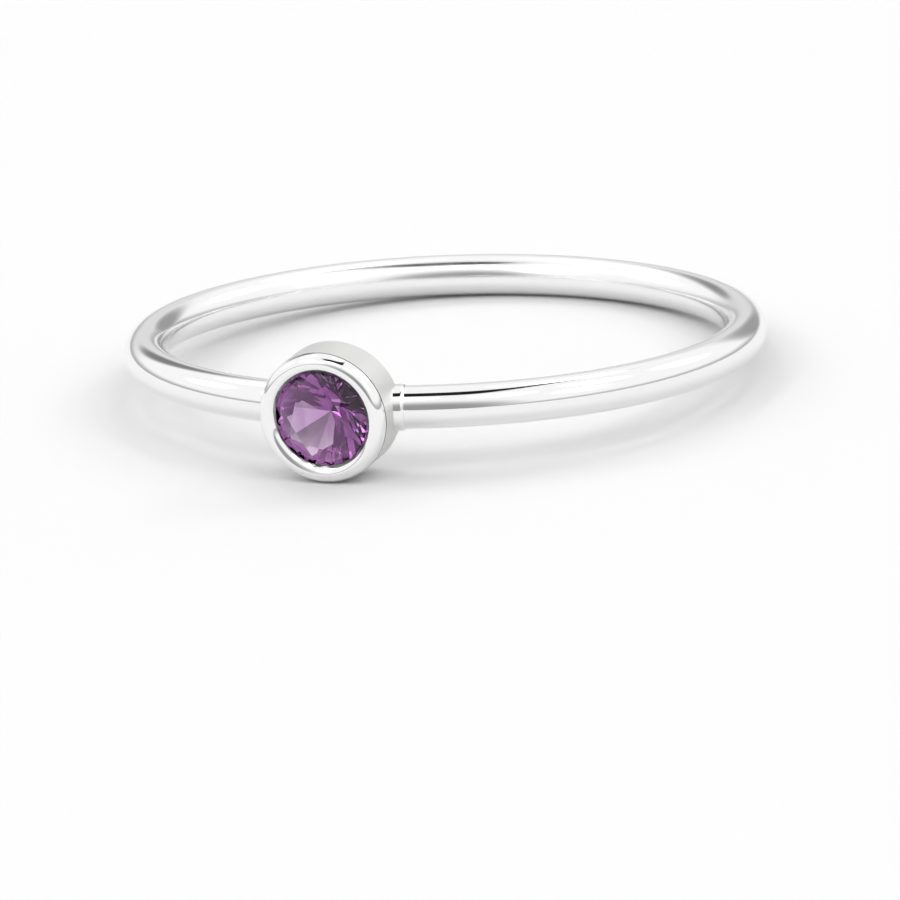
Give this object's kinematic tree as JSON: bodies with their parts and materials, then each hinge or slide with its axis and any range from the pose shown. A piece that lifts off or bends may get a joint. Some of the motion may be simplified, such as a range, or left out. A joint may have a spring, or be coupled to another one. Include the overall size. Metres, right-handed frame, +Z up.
{
  "type": "stackable ring",
  "caption": "Slim stackable ring: a round silver wire band soldered to a round bezel that holds a faceted purple stone, lying on its side.",
  "frame": {"origin": "on the table under the middle of the ring's bounding box, as the ring lies on its side", "axes": "+Z up from the table; -Y the way the bezel faces, 0.2 degrees above level, while the band leans 4.2 degrees; +X to the right as seen from the bezel's side"},
  "size_m": [0.0198, 0.0208, 0.004],
  "materials": {
    "polished_silver": "mirror polished",
    "amethyst": "cut and polished"
  },
  "bodies": {
    "root": {"band_and_bezel": "polished_silver", "stone": "amethyst"}
  },
  "joints": []
}
